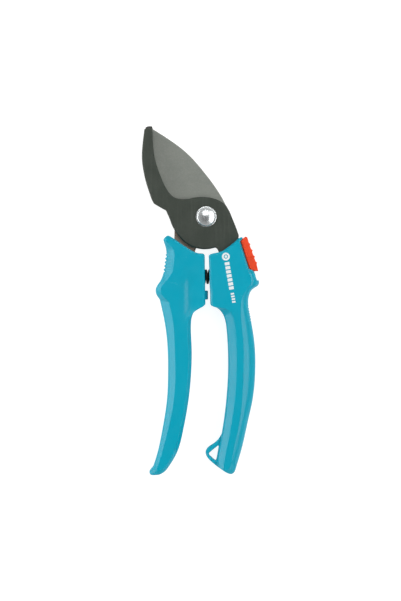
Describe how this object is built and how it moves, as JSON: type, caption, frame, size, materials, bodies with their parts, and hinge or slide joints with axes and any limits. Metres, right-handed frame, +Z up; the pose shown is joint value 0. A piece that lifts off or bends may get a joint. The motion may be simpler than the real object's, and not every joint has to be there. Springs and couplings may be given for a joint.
{
  "type": "bypass pruner",
  "caption": "Hand bypass pruner with a hooked counter blade, a leaf-shaped cutting blade, two moulded handles, a coil opening spring, a thumb-slide lock and a lanyard eye.",
  "frame": {"origin": "middle of the bounding box, on the surface the tool lies on (the back faces of the handles)", "axes": "+Y along the tool towards the blade tips, +X from the left handle to the right handle seen from the front, +Z up out of the front face"},
  "size_m": [0.067, 0.2, 0.018],
  "materials": {
    "handle": "satin moulded plastic with a fine grain",
    "lock_orange": "semi-gloss moulded plastic",
    "blade_dark": "satin dark coating",
    "blade_steel": "dull brushed steel",
    "zinc": "bright zinc plating",
    "bronze": "plain sintered bronze",
    "pin_steel": "plain steel",
    "spring": "dark oiled spring steel",
    "seat_plastic": "dark plastic",
    "mark_white": "matt white print"
  },
  "bodies": {
    "fixed_half": {"right_handle": "handle", "counter_blade": "blade_dark", "right_tang_pins": "pin_steel", "pivot_bolt": "zinc", "pivot_bush": "bronze", "pivot_washer": "zinc", "pivot_nut": "zinc", "opening_spring": "spring", "spring_seat_right": "seat_plastic", "lock_leaf_spring": "spring", "handle_mark": "mark_white"},
    "moving_half": {"left_handle": "handle", "cutting_blade": "blade_steel", "left_tang_pins": "pin_steel", "spring_seat_left": "seat_plastic"},
    "lock": {"lock_slide": "lock_orange", "lock_tongue": "pin_steel", "lock_rivet": "pin_steel"}
  },
  "joints": [
    {"name": "blade_pivot", "type": "hinge", "parent": "fixed_half", "child": "moving_half", "pos_m": [0.00321, 0.04802, 0.009], "axis": [0, 0, -1], "range_deg": [0, 32], "deforming": ["opening_spring"]},
    {"name": "lock_slide_travel", "type": "slide", "parent": "fixed_half", "child": "lock", "axis": [0.3027, -0.9531, 0], "range_m": [0, 0.0045]}
  ]
}
